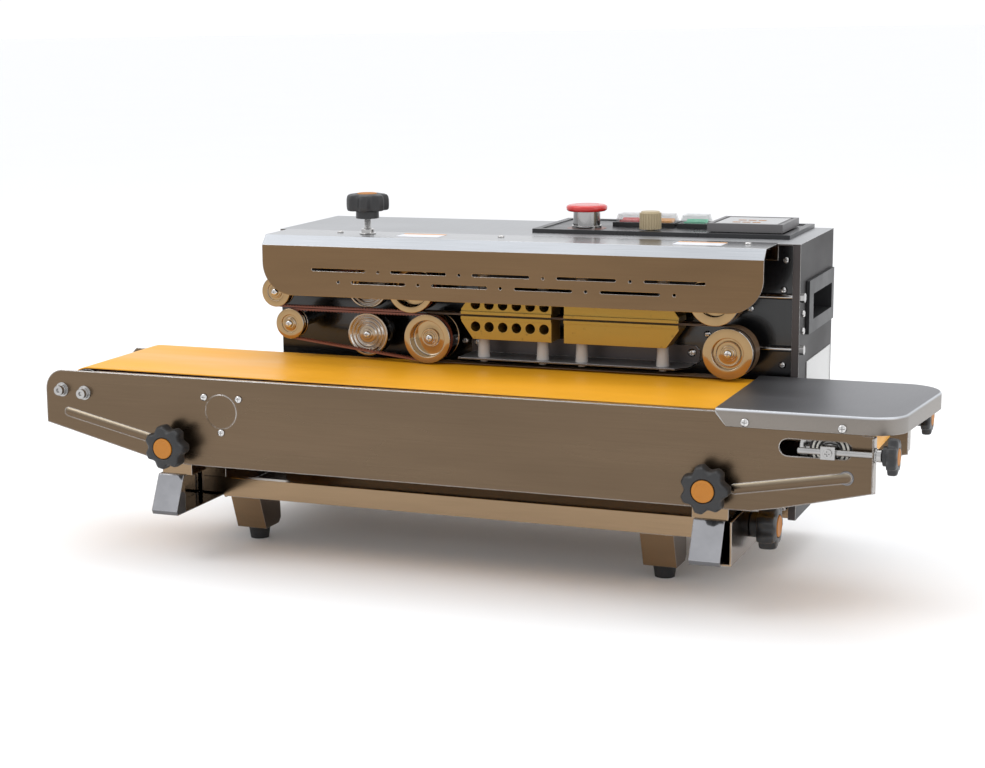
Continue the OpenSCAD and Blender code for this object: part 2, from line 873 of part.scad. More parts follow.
module press_fork() color("dimgray") at_origin() {
  fork_y0 = press_y + 15;
  difference() {
    union() {
      box(press_x - 9, press_x + 9, fork_y0, fork_y0 + 8, press_uz - 9, press_uz + 26);
      box(press_x - 15, press_x + 4, pressure_y - 7, fork_y0 + 8, press_uz + 26, press_uz + 34);
    }
    ycyl(press_x, fork_y0 - 1, press_uz, shaft_r + 0.05, 12);
  }
}

module pressure_knob() color("dimgray") at_origin() {
  translate([pressure_x, pressure_y, 321])
    star_knob(knob_d, knob_h);
  zcyl(pressure_x, pressure_y, press_uz + 34.3, 3.4, 321 - press_uz - 34.3);
}

module guide_pulley(x, z) {
  difference() {
    union() {
      ycyl(x, wheel_y, z, 15.2, 2.8);
      ycyl(x, wheel_y + 2, z, cog_pulley_r - gap, 9);
      ycyl(x, wheel_y + 9.6, z, 15.2, 2.4);
    }
    difference() {
      ycyl(x, wheel_y - 1, z, 9, 2.8);
      ycyl(x, wheel_y - 1, z, 6.4, 5);
    }
  }
  face_screw(x, wheel_y, z);
  wheel_shaft(x, z, wheel_y + 12, 184);
  ycyl(x, 184, z, 8, 4);
}

module guide_pulley_lower() color("silver") at_origin()
  guide_pulley(pulley_lx, pulley_lz);

module guide_pulley_upper() color("silver") at_origin()
  guide_pulley(pulley_ux, pulley_uz);

// ---------- conveyor ----------

module rail_profile2d() {
  difference() {
    square([rail_w, rail_z1 - rail_z0]);
    translate([sheet, sheet])
      square([rail_w, rail_z1 - rail_z0 - 2 * sheet]);
  }
}

module rail(x0, flip) {
  y0 = -1;
  length = 197;
  translate([x0 + (flip ? rail_w : 0), 0, 0])
    mirror([flip ? 1 : 0, 0, 0]) {
      translate([0, y0 + length, rail_z0])
        rotate([90, 0, 0])
          linear_extrude(height = length)
            rail_profile2d();
      // leaning polished end cap
      yz(0, rail_w)
        polygon([[y0 - 14, rail_z0], [y0 + 2, rail_z0], [y0 + 2, rail_z1], [y0, rail_z1],
                 [y0 - 16, rail_z0 + 4]]);
    }
}

module slide_rails() color("silver") at_origin() {
  difference() {
    union() {
      rail(rail_left_x, false);
      rail(rail_right_x, true);
    }
    // clamping slot in the right rail
    translate([rail_right_x + rail_w - 3, 0, 0])
      rotate([90, 0, 90])
        linear_extrude(height = 6)
          obround2d(62, 152, rail_knob_z, 9);
  }
}

module upright(x0) {
  y0 = sheet + 0.3;
  depth = 28;
  difference() {
    union() {
      box(x0, x0 + lift_w, y0, y0 + sheet, lift_z0, 140);
      box(x0 + lift_w - sheet, x0 + lift_w, y0, y0 + depth, lift_z0, 112);
      box(x0, x0 + lift_w, y0, y0 + depth, rail_z1, rail_z1 + sheet);
    }
    xz(y0 - 1, sheet + 2)
      translate([x0 + lift_w / 2, clamp_z])
        rotate([0, 0, 90])
          obround2d(-16, 10, 0, 9);
  }
}

module uprights() color("silver") at_origin() {
  upright(lift_x_left);
  upright(lift_x_right);
}

module plate_outline2d() {
  r = 20;
  difference() {
    polygon([[0, 127.5], [122, 98], [158, plate_bottom], [703, plate_bottom], [728, 99.5],
             [plate_len, 118.5], [plate_len, 167.2], [table_x1 - 43, 167.2], [table_x1 - 43, plate_top],
             [0, plate_top]]);
    translate([0, plate_top - r])
      difference() {
        translate([-1, 0])
          square([r + 1, r + 1]);
        translate([r, 0])
          circle(r = r);
      }
  }
}

// pressed diagonal stiffening rib between two points
module rib(a, b) {
  length = sqrt(pow(b[0] - a[0], 2) + pow(b[1] - a[1], 2));
  ang = atan2(b[1] - a[1], b[0] - a[0]);
  rib_r = 6.4;
  rib_depth = 4.7;
  intersection() {
    translate([a[0], rib_depth, a[1]])
      rotate([0, -ang, 0])
        union() {
          rotate([0, 90, 0])
            cylinder(r = rib_r, h = length);
          sphere(r = rib_r);
          translate([length, 0, 0])
            sphere(r = rib_r);
        }
    box(-10, plate_len, -5, 1, 50, 200);
  }
}

module side_sheet() {
  slot_z = tail_roller_z + 0.5;
  difference() {
    union() {
      xz(0, sheet)
        plate_outline2d();
      box(57, table_x0 - 0.5, 0, 6, plate_top - sheet, plate_top);
      box(plate_len - sheet, plate_len, -11, 0.5, 121, 167);
      ycyl(194.7, -0.3, 149.3, 16.5, 1);
      rib([25, 139], [115, 119]);
      rib([690, 113.5], [784, 130]);
    }
    xz(-2, 6)
      obround2d(727.5, 788.5, slot_z, 14.5);
    xcyl(plate_len - 4, rod_y, tail_roller_z, 3.3, 8);
    ycyl(drive_roller_x, -1, drive_roller_z, 6.1, 5);
    ycyl(18.7, -1, 161, 3.1, 5);
  }
}

module side_plate_front() color("silver") at_origin() {
  difference() {
    side_sheet();
    for (x = [lift_x_left, lift_x_right])
      ycyl(x + lift_w / 2, -2, clamp_z, 4.3, 6);
  }
}

// the rear plate stands lower than the belt as far as the end table
module side_plate_rear() color("silver") at_origin() {
  trim = 4;
  difference() {
    translate([0, conveyor_w, 0])
      mirror([0, 1, 0])
        side_sheet();
    box(-1, table_x0 - 0.4, rear_y0 - 6, conveyor_w + 1, plate_top - trim, plate_top + 1);
  }
}

module slider_bed() color("silver") at_origin() {
  z1 = belt_top - belt_t - gap;
  y0 = 7;
  y1 = rear_y0 - 5.5;
  z0 = z1 - 14;
  yz(70, 665)
    polygon([[sheet, z0], [y0 + sheet, z0], [y0 + sheet, z1 - sheet], [y1 - sheet, z1 - sheet],
             [y1 - sheet, z0], [rear_y0, z0], [rear_y0, z0 + sheet], [y1, z0 + sheet], [y1, z1], [y0, z1],
             [y0, z0 + sheet], [sheet, z0 + sheet]]);
}

module table_outline2d(inset) {
  c1 = [table_x1 - 40, 28.5];
  c2 = [table_x1 - 35, 132];
  y0 = -1.5 + inset;
  y1 = 167 - inset;
  hull() {
    translate(c1)
      circle(r = 30 - inset);
    translate(c2)
      circle(r = 35 - inset);
    translate([table_x0, y0])
      square([1, y1 - y0]);
  }
}

module end_table() color("silver") at_origin() {
  top = 183.3;
  difference() {
    translate([0, 0, top - table_skirt])
      linear_extrude(height = table_skirt)
        table_outline2d(0);
    translate([0, 0, top - table_skirt - 1])
      linear_extrude(height = table_skirt - sheet + 1)
        union() {
          table_outline2d(sheet);
          translate([table_x0 - 1, -1.5 + sheet])
            square([10, 168.5 - 2 * sheet]);
        }
    // slanted start of the skirt
    xz(-3, 172)
      polygon([[table_x0 - 1, 179], [table_x0 + 1, 179], [table_x0 + 11, 166.5], [table_x0 - 1, 166.5]]);
  }
}

module conveyor_belt() color("orange") at_origin() {
  xz(belt_y0, belt_w)
    belt_ring2d([drive_roller_x, drive_roller_z], drive_roller_r,
                [tail_roller_x, tail_roller_z], tail_roller_r, belt_t);
}

module roller(x, z, r, bore) {
  difference() {
    ycyl(x, 6.5, z, r - gap, 149);
    ycyl(x, 0, z, bore, 170);
    for (y = [5.5, 153.5])
      difference() {
        ycyl(x, y, z, r - 5, 3);
        ycyl(x, y - 1, z, bore + 4, 6);
      }
  }
}

module drive_roller() color("silver") at_origin()
  roller(drive_roller_x, drive_roller_z, drive_roller_r, 6.05);

module tail_roller() color("silver") at_origin()
  roller(tail_roller_x, tail_roller_z, tail_roller_r, 6.05);

module sleeve_nut(x, z, y, dir) {
  translate([x, y, z])
    rotate([-90 * dir, 0, 0]) {
      cylinder(r = 7, h = 1.2);
      translate([0, 0, 1.2])
        cylinder(r = 6.2 * 0.95, h = 2.6, $fn = 6);
      difference() {
        translate([0, 0, 3.8])
          cylinder(r = 4.8, h = 4.4);
        translate([0, 0, 6.4])
          cylinder(r = 2.4, h = 4, $fn = 6);
      }
    }
}

module axle_hardware() color("silver") at_origin() {
  ycyl(drive_roller_x, 0, drive_roller_z, 6, conveyor_w);
  ycyl(18.7, 0, 161, 3, 5);
  ycyl(18.7, conveyor_w - 5, 161, 3, 5);
  for (p = [[drive_roller_x, drive_roller_z], [18.7, 161]]) {
    sleeve_nut(p[0], p[1], 0, -1);
    sleeve_nut(p[0], p[1], conveyor_w, 1);
  }
}

module takeup_carriage() color("silver") at_origin() {
  z = tail_roller_z;
  difference() {
    union() {
      ycyl(tail_roller_x, -1, z, 6, conveyor_w + 2);
      for (side = [0, 1])
        translate([0, side * conveyor_w, 0])
          mirror([0, side, 0]) {
            box(tail_roller_x - 6, tail_roller_x + 6, -11, -0.3, z - 5.5, z + 5.5);
            pan_screw(tail_roller_x, -11, z, 3.8, 2.2);
          }
    }
    for (y = [rod_y, conveyor_w - rod_y])
      xcyl(tail_roller_x - 10, y, z, rod_r + 0.05, 20);
  }
}

module plate_screws() color("silver") at_origin() {
  for (p = [[177, 162.5], [214, 162.5], [194.5, 129]])
    pan_screw(p[0], 0, p[1], 3.6, 2.2);
  for (x = [698, 780]) {
    pan_screw(x, -1.5, 172.2, 3.8, 2.2);
    translate([0, conveyor_w, 0])
      mirror([0, 1, 0])
        pan_screw(x, -1.5, 172.2, 3.8, 2.2);
  }
}

module conveyor_motor() color("gray") at_origin() {
  ycyl(194.7, sheet, 152, 11, 34);
  ycyl(194.7, sheet + 34, 152, 12.5, 52);
  ycyl(194.7, sheet + 86, 152, 5, 6);
}

module clamp_knob(x) {
  translate([x, -0.4, clamp_z])
    rotate([90, 0, 0]) {
      cylinder(r = 7, h = 1);
      translate([0, 0, 1])
        star_knob(knob_d, knob_h);
    }
  ycyl(x, -0.5, clamp_z, 4, 12);
  ycyl(x, 3.8, clamp_z, 7, 5);
}

module clamp_knob_left() color("dimgray") at_origin()
  clamp_knob(lift_x_left + lift_w / 2);

module clamp_knob_right() color("dimgray") at_origin()
  clamp_knob(lift_x_right + lift_w / 2);

module rail_knob() color("dimgray") at_origin() {
  translate([guard_x + sheet + 0.4, rail_knob_y, rail_knob_z])
    rotate([0, 90, 0])
      star_knob(knob_d, knob_h);
  xcyl(rail_right_x + rail_w - 3.2, rail_knob_y, rail_knob_z, 4, guard_x - rail_right_x - rail_w + 6);
}

module tension_knob(y) {
  translate([plate_len + 7, y, tail_roller_z])
    rotate([0, 90, 0])
      star_knob(small_knob_d, 13);
  xcyl(tail_roller_x - 26, y, tail_roller_z, rod_r, plate_len + 8 - tail_roller_x + 26);
  xcyl(plate_len + 0.4, y, tail_roller_z, 6.5, 1.2);
  hex_nut(plate_len + 1.6, y, tail_roller_z, 10, 4.6);
}

module tension_knob_front() color("dimgray") at_origin()
  tension_knob(rod_y);

module tension_knob_rear() color("dimgray") at_origin()
  tension_knob(conveyor_w - rod_y);

base_frame();
rail_guard();
leg_brackets();
rubber_feet();
body_shell();
front_panel();
rear_cover();
hood();
side_handles();
rating_plate();
control_plate();
estop_collar();
switch_bezels();
switch_covers();
temperature_controller();
power_inlet();
sealing_bands();
guide_belts();
cooling_blocks();
heating_blocks();
block_standoffs();
block_brackets();
bearing_housings();
idler_tension_links();
gearbox();
drive_motor();
body_screws();
estop_button();
rocker_red();
rocker_amber();
rocker_green();
speed_knob();
pressure_knob();
press_fork();
press_wheel_upper();
press_wheel_lower();
drive_wheel_upper();
drive_wheel_lower();
idler_wheel_upper();
idler_wheel_lower();
guide_pulley_upper();
guide_pulley_lower();
slide_rails();
uprights();
side_plate_front();
side_plate_rear();
slider_bed();
end_table();
conveyor_belt();
drive_roller();
tail_roller();
axle_hardware();
takeup_carriage();
plate_screws();
conveyor_motor();
clamp_knob_left();
clamp_knob_right();
rail_knob();
tension_knob_front();
tension_knob_rear();
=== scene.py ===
import math
import bpy
import bmesh
from mathutils import Matrix, Vector


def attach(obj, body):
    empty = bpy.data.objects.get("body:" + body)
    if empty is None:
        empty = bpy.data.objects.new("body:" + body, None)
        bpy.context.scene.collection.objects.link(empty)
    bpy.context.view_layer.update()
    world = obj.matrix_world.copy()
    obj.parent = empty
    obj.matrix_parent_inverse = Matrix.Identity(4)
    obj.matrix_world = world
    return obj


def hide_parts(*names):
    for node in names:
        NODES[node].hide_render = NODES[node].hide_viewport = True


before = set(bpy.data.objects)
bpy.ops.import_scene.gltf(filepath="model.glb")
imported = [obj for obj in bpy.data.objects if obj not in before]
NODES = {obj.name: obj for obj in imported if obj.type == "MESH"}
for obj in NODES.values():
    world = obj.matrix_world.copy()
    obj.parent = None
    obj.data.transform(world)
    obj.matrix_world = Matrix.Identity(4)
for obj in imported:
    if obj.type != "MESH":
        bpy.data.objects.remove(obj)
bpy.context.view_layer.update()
MM = 0.001
SHARP = math.radians(33)    # edges over this angle are shaded as creases
PLATE_X, PLATE_Y = 420, 147    # the drawing's zero corner, in mm from the middle of the object

# places in the drawing's own millimetres
BAND_Z = 231.75    # height of the line where the two sealing bands meet
WHEEL_DZ, PULLEY_DZ = 24.25, 15.75    # wheel and pulley axles above and below that line
WHEEL_Y = 130    # front plane of the wheels
DRIVE_X = {"lower": 353.8, "upper": 337}
IDLER_X = {"lower": 649.9, "upper": 636.8}
PULLEY_X = {"lower": 206, "upper": 191}
PRESS_X, PRESS_Y = 286.5, 140.2
PRESS_Z = {"lower": 207.55, "upper": 254.75}
PRESSURE_X, PRESSURE_Y = 281.5, 156
HEAD_ROLL, HEAD_ROLL_R = (44, 159), 22.5    # conveyor drive roller
TAIL_ROLL, TAIL_ROLL_R = (770, 152.5), 27
BELT_Y = (8.5, 153.5)
BELT_STEPS = 460
STOP_X, STOP_Y = 483, 232    # emergency stop
GRIP_D, GRIP_H = 43, 25    # large star knobs
TABLE_X0, TABLE_TOP = 672.5, 183.3


# ---------- materials ----------

class Mat:
    """A principled material with short calls for its procedural detail."""

    def __init__(self, name, color, rough, metal=0.0, coat=0.0):
        self.m = bpy.data.materials.new(name)
        self.m.use_nodes = True
        self.t = self.m.node_tree
        self.b = self.t.nodes["Principled BSDF"]
        self.color = color
        self.b.inputs["Base Color"].default_value = (*color, 1)
        self.b.inputs["Roughness"].default_value = rough
        self.b.inputs["Metallic"].default_value = metal
        self.b.inputs["Coat Weight"].default_value = coat
        place = self.t.nodes.new("ShaderNodeTexCoord")
        self.coord, self.facing = place.outputs["Object"], place.outputs["Normal"]
        self.normal = None

    def node(self, kind, **values):
        n = self.t.nodes.new("ShaderNode" + kind)
        for key, value in values.items():
            if key in n.inputs:
                n.inputs[key].default_value = value
            else:
                setattr(n, key, value)
        return n

    def link(self, a, b):
        self.t.links.new(a, b)

    def noise(self, scale, stretch=(1, 1, 1), detail=3.0):
        mp = self.node("Mapping")
        mp.inputs["Scale"].default_value = stretch
        self.link(self.coord, mp.inputs["Vector"])
        n = self.node("TexNoise", Scale=scale, Detail=detail, Roughness=0.55)
        self.link(mp.outputs[0], n.inputs["Vector"])
        return n.outputs["Fac"]

    def remap(self, value, lo, hi, a, b):
        n = self.node("MapRange")
        for i, v in enumerate((lo, hi, a, b)):
            n.inputs[i + 1].default_value = v
        self.link(value, n.inputs[0])
        return n.outputs[0]

    def mix(self, fac, a, b):
        n = self.node("Mix", data_type="RGBA")
        self.link(fac, n.inputs["Factor"])
        for socket, v in ((n.inputs[6], a), (n.inputs[7], b)):
            if isinstance(v, tuple):
                socket.default_value = (*v, 1)
            else:
                self.link(v, socket)
        return n.outputs[2]

    def vary(self, fac, dark=0.85, light=1.12):
        a = tuple(min(1, c * dark) for c in self.color)
        b = tuple(min(1, c * light) for c in self.color)
        return self.mix(fac, a, b)

    def shade(self, color, fac, lo, hi):
        n = self.node("VectorMath", operation="SCALE")
        self.link(color, n.inputs[0])
        self.link(self.remap(fac, 0.3, 0.7, lo, hi), n.inputs["Scale"])
        return n.outputs[0]

    def bevel(self, radius):
        n = self.node("Bevel", samples=4)
        n.inputs["Radius"].default_value = radius
        self.normal = n.outputs[0]
        return self

    def edge(self):
        """1 on rounded edges, 0 on flats; the materials paint a highlight along the edges with it."""
        geo = self.node("NewGeometry")
        dot = self.node("VectorMath", operation="DOT_PRODUCT")
        self.link(self.normal, dot.inputs[0])
        self.link(geo.outputs["True Normal"], dot.inputs[1])
        return self.remap(dot.outputs["Value"], 0.86, 0.995, 1, 0)

    def bump(self, height, distance, strength=1.0):
        n = self.node("Bump", Distance=distance, Strength=strength)
        self.link(height, n.inputs["Height"])
        if self.normal is not None:
            self.link(self.normal, n.inputs["Normal"])
        self.normal = n.outputs[0]

    def done(self, color=None, rough=None):
        if color is not None:
            self.link(color, self.b.inputs["Base Color"])
        if rough is not None:
            self.link(rough, self.b.inputs["Roughness"])
        if self.normal is not None:
            self.link(self.normal, self.b.inputs["Normal"])
        return self.m


def steel(name, front, side, top, rough, stretch=(0.012, 1, 1), radius=0.0007,
          slope=(0.6, 0.62, 0.65)):
    """Brushed sheet with painted reflections: a tone for front and back, for the ends, and for slopes and
    tops, picked by each face's normal.
    """
    m = Mat(name, front, rough, 1.0).bevel(radius)
    edge = m.edge()
    # painted reflection: the colour is chosen from the face's normal, so fronts, ends, slopes and tops each
    # show a different reflected tone
    xyz = m.node("SeparateXYZ")
    m.link(m.facing, xyz.inputs[0])
    across = m.node("Math", operation="ABSOLUTE")
    m.link(xyz.outputs[0], across.inputs[0])
    base = m.mix(m.remap(across.outputs[0], 0.4, 0.9, 0, 1), front, side)
    base = m.mix(m.remap(xyz.outputs[2], 0.1, 0.6, 0, 1), base, slope)
    base = m.mix(m.remap(xyz.outputs[2], 0.8, 0.97, 0, 1), base, top)
    grain = m.noise(1500, stretch, 2)
    # the cloud noise paints broad blurred reflections into the colour and also varies the roughness
    cloud = m.noise(7, (0.5, 1, 2.2), 3)
    base = m.shade(base, cloud, 0.88, 1.1)
    base = m.shade(base, grain, 0.95, 1.04)
    # painted highlight along the rounded edges
    base = m.mix(edge, base, (0.66, 0.65, 0.64))
    m.bump(grain, 0.00003, 0.3)
    return m.done(base, m.remap(cloud, 0.3, 0.7, rough - 0.05, rough + 0.05))


def polished(name, color, rough, radius=0.0006):
    """Bright steel with painted shade and reflection: darker on faces that look down, lighter on faces that
    look up.
    """
    m = Mat(name, color, rough, 1.0).bevel(radius)
    cloud = m.noise(40, detail=5)
    fine = m.noise(900, (1, 1, 0.05), 2)
    m.bump(fine, 0.00001, 0.25)
    xyz = m.node("SeparateXYZ")
    m.link(m.facing, xyz.inputs[0])
    # painted shade on faces that look down and painted reflection of the bright top on faces that look up,
    # chosen by the normal
    low = tuple(c * 0.28 for c in color)
    high = tuple(min(1, c * 1.12) for c in color)
    tone = m.mix(m.remap(xyz.outputs[2], -0.85, 0.75, 0, 1), low, high)
    return m.done(m.shade(tone, cloud, 0.9, 1.06),
                  m.remap(cloud, 0.35, 0.7, rough * 0.6, rough * 1.9))


def turned(name, face, wall, rough):
    """Lathe-turned metal: warm flat faces and bright walls as painted reflections, fine rings about the
    piece's own Z.
    """
    pitch = 0.0004
    m = Mat(name, face, rough, 1.0)
    w = m.node("TexWave", wave_type="RINGS", rings_direction="Z", Scale=1 / pitch / 20)
    m.link(m.coord, w.inputs["Vector"])
    w.inputs["Distortion"].default_value = 0.6
    xyz = m.node("SeparateXYZ")
    m.link(m.facing, xyz.inputs[0])
    flat = m.node("Math", operation="ABSOLUTE")
    m.link(xyz.outputs[2], flat.inputs[0])
    # painted reflection: flat faces take the warm tone and walls the bright one, by the normal
    base = m.mix(m.remap(flat.outputs[0], 0.6, 0.95, 0, 1), wall, face)
    sweep = m.noise(60, detail=3)
    base = m.shade(base, sweep, 0.93, 1.06)
    m.bump(w.outputs["Fac"], 0.000006, 0.35)
    return m.done(base, m.remap(sweep, 0.3, 0.7, rough * 0.7, rough * 1.4))


def plastic(name, color, rough, grain=1400, depth=0.00004, radius=0.0005, coat=0.0,
            edge_highlight=1.6):
    m = Mat(name, color, rough, 0.0, coat).bevel(radius)
    edge = m.edge()
    n = m.noise(grain, detail=2)
    cloud = m.noise(30, detail=4)
    # painted highlight: the rounded edges are lightened by a set gain
    base = m.mix(edge, m.vary(cloud, 0.86, 1.14), tuple(min(1, c * edge_highlight + 0.008) for c in color))
    m.bump(n, depth, 0.35)
    return m.done(base, m.remap(cloud, 0.3, 0.7, rough * 0.85, rough * 1.15))


# tone painted on faces that look up: a painted reflection of the bright space overhead. The steels below
# carry painted reflections in their front, end, slope and top tones.
PAINTED_TOP_REFLECTION = (0.42, 0.425, 0.435)
M = {
    "stainless": steel("stainless", (0.32, 0.25, 0.175), (0.2, 0.16, 0.125), PAINTED_TOP_REFLECTION, 0.27),
    # a darker copy of the stainless for the low frame parts: painted shade
    "stainless_painted_shade": steel("stainless_painted_shade", (0.29, 0.2, 0.12), (0.12, 0.085, 0.06),
                            (0.42, 0.36, 0.29), 0.2),
    "hood_steel": steel("hood_steel", (0.172, 0.107, 0.057), (0.18, 0.14, 0.1), PAINTED_TOP_REFLECTION, 0.24),
    "plate_steel": steel("plate_steel", (0.147, 0.103, 0.066), (0.2, 0.165, 0.13), (0.6, 0.61, 0.62), 0.26,
                         radius=0.0018, slope=(0.32, 0.27, 0.2)),
    "table_steel": steel("table_steel", (0.25, 0.225, 0.2), (0.3, 0.28, 0.26), (0.22, 0.22, 0.23), 0.42,
                         (1, 0.03, 1), 0.0004),
    "side_steel": steel("side_steel", (0.09, 0.08, 0.078), (0.012, 0.0095, 0.0095), PAINTED_TOP_REFLECTION, 0.45, (1, 0.012, 1)),
    "polished": polished("polished_steel", (0.56, 0.55, 0.54), 0.12),
    "rail_chrome": polished("rail_chrome", (0.36, 0.36, 0.375), 0.08, 0.0018),
    # the turned metals' warm faces and bright walls are painted reflections
    "turned": turned("turned_steel", (0.32, 0.245, 0.17), (0.56, 0.54, 0.52), 0.11),
    "wheel_painted_reflection": turned("wheel_warm_steel", (0.33, 0.215, 0.105), (0.62, 0.61, 0.6), 0.07),
    "ivory": plastic("ivory_ring", (0.62, 0.60, 0.54), 0.4),
    "window": plastic("display_window", (0.012, 0.010, 0.012), 0.1, 300, 0.000005, 0.0003, 0.5),
    "estop_dark_red": plastic("estop_dark_red_ring", (0.20, 0.045, 0.018), 0.35),
    "sticker": plastic("blank_sticker", (0.72, 0.73, 0.78), 0.4),
    "sticker_edge": plastic("sticker_stripe", (0.72, 0.33, 0.10), 0.4),
    "black_gloss": plastic("black_gloss_panel", (0.004, 0.004, 0.0045), 0.2, 300, 0.00001, 0.0004, 0.2),
    "black_plastic": plastic("black_plastic", (0.016, 0.016, 0.017), 0.42),
    "panel_black": plastic("panel_black", (0.014, 0.014, 0.016), 0.3, 1600, 0.00003),
    "rubber": plastic("black_rubber", (0.014, 0.013, 0.013), 0.7, 700, 0.0001),
    "cap_orange": plastic("cap_orange", (0.42, 0.15, 0.006), 0.55, 900, 0.00002, 0.0003, 0.0, 1.1),
    "ceramic": plastic("ceramic_white", (0.36, 0.34, 0.32), 0.42, 260, 0.00012),
    "beige": plastic("beige_plastic", (0.42, 0.34, 0.21), 0.42, radius=0.0002, edge_highlight=1.25),
    "red": plastic("red_plastic", (0.56, 0.018, 0.016), 0.24, 700, 0.00001, 0.0008, 0.35, 1.2),
    "grey_plastic": plastic("grey_plastic", (0.13, 0.125, 0.128), 0.4, edge_highlight=1.5),
    "grey_paint": plastic("grey_paint", (0.22, 0.23, 0.24), 0.45, 500, 0.0001),
    "label": plastic("label_plate", (0.55, 0.55, 0.54), 0.34),
}


def lens(name, color):
    m = Mat(name, color, 0.22, 0.0, 0.3)
    cloud = m.noise(180, (1, 0.1, 1), 2)
    m.b.inputs["Emission Color"].default_value = (*color, 1)
    m.b.inputs["Emission Strength"].default_value = 0.12
    m.bump(cloud, 0.0001, 0.4)
    return m.done(m.vary(cloud, 0.75, 1.25))


M["lens_red"] = lens("lens_red", (0.62, 0.03, 0.03))
M["lens_amber"] = lens("lens_amber", (0.72, 0.30, 0.02))
M["lens_green"] = lens("lens_green", (0.03, 0.46, 0.25))


def belt_material(name, color, rough, coat):
    m = Mat(name, color, rough, 0.0, coat)
    cloud = m.noise(7, (0.5, 2.2, 1), 5)
    weave = m.noise(1100, (1, 1, 1), 2)
    marks = m.remap(m.noise(30, (0.2, 5, 1), 3), 0.62, 0.78, 0, 0.35)
    base = m.mix(marks, m.vary(cloud, 0.86, 1.1), tuple(c * 0.66 for c in color))
    m.bump(weave, 0.00003, 0.25)
    return m.done(base, m.remap(cloud, 0.3, 0.7, rough * 0.7, rough * 1.3))


M["belt"] = belt_material("belt_orange", (0.84, 0.385, 0.014), 0.42, 0.0)
M["belt_back"] = belt_material("belt_backing", (0.10, 0.018, 0.012), 0.7, 0.0)
M["cog"] = belt_material("guide_belt_rubber", (0.155, 0.040, 0.020), 0.42, 0.1)


def weave_band():
    m = Mat("band_cloth", (0.11, 0.062, 0.030), 0.36)
    a = m.noise(1800, (1, 0.15, 1), 1)
    b = m.noise(1800, (0.15, 1, 1), 1)
    cross = m.node("Math", operation="MULTIPLY")
    m.link(a, cross.inputs[0])
    m.link(b, cross.inputs[1])
    m.bump(cross.outputs[0], 0.0001, 0.6)
    return m.done(m.vary(m.noise(40, detail=4), 0.7, 1.35))


M["band"] = weave_band()


def anodised():
    m = Mat("gold_anodised", (0.34, 0.2, 0.034), 0.4, 0.75).bevel(0.0005)
    edge = m.edge()
    grain = m.noise(700, (0.02, 1, 1), 2)
    cloud = m.noise(24, (1, 1, 3), 5)
    specks = m.remap(m.noise(190, detail=2), 0.66, 0.74, 0, 0.5)
    base = m.mix(specks, m.vary(cloud, 0.78, 1.2), (0.13, 0.085, 0.02))
    # painted highlight along the rounded edges
    base = m.mix(edge, base, (0.6, 0.46, 0.2))
    m.bump(grain, 0.00004, 0.4)
    return m.done(base, m.remap(cloud, 0.3, 0.7, 0.26, 0.44))


M["gold"] = anodised()


def clear_cover():
    m = Mat("clear_cover", (0.32, 0.33, 0.33), 0.07, 0.0, 0.0)
    m.b.inputs["Alpha"].default_value = 0.2
    m.bump(m.noise(120, detail=2), 0.00005, 0.3)
    return m.done()


M["clear"] = clear_cover()

NODE_MATERIAL = {
    "base_frame": "stainless_painted_shade", "rail_guard": "stainless_painted_shade", "leg_brackets": "stainless_painted_shade",
    "rubber_feet": "rubber", "body_shell": "side_steel", "front_panel": "black_gloss",
    "rear_cover": "side_steel", "hood": "hood_steel", "side_handles": "black_plastic",
    "rating_plate": "label", "control_plate": "panel_black", "estop_collar": "polished",
    "switch_bezels": "black_plastic", "temperature_controller": "grey_plastic",
    "power_inlet": "black_plastic", "sealing_bands": "band", "guide_belts": "cog",
    "cooling_blocks": "gold", "heating_blocks": "gold", "block_standoffs": "ceramic",
    "block_brackets": "side_steel", "bearing_housings": "black_gloss",
    "idler_tension_links": "polished", "gearbox": "grey_paint", "drive_motor": "grey_paint",
    "body_screws": "polished", "estop_button": "red", "rocker_red": "lens_red",
    "rocker_amber": "lens_amber", "rocker_green": "lens_green", "speed_knob": "beige",
    "pressure_knob": "black_plastic", "press_fork": "black_plastic",
    "press_wheel_upper": "turned", "press_wheel_lower": "turned", "drive_wheel_upper": "polished",
    "drive_wheel_lower": "polished", "idler_wheel_upper": "polished",
    "idler_wheel_lower": "polished", "guide_pulley_upper": "polished",
    "guide_pulley_lower": "polished", "slide_rails": "rail_chrome", "uprights": "stainless_painted_shade",
    "side_plate_front": "plate_steel", "side_plate_rear": "plate_steel", "slider_bed": "stainless",
    "end_table": "table_steel", "conveyor_belt": "belt", "drive_roller": "polished",
    "tail_roller": "polished", "axle_hardware": "polished", "takeup_carriage": "polished",
    "plate_screws": "polished", "conveyor_motor": "grey_paint", "clamp_knob_left": "black_plastic",
    "clamp_knob_right": "black_plastic", "rail_knob": "black_plastic",
    "tension_knob_front": "black_plastic", "tension_knob_rear": "black_plastic",
    "switch_covers": "clear",
}
for name, key in NODE_MATERIAL.items():
    o = NODES[name]
    o.data.materials.clear()
    o.data.materials.append(M[key])


# ---------- building helpers ----------

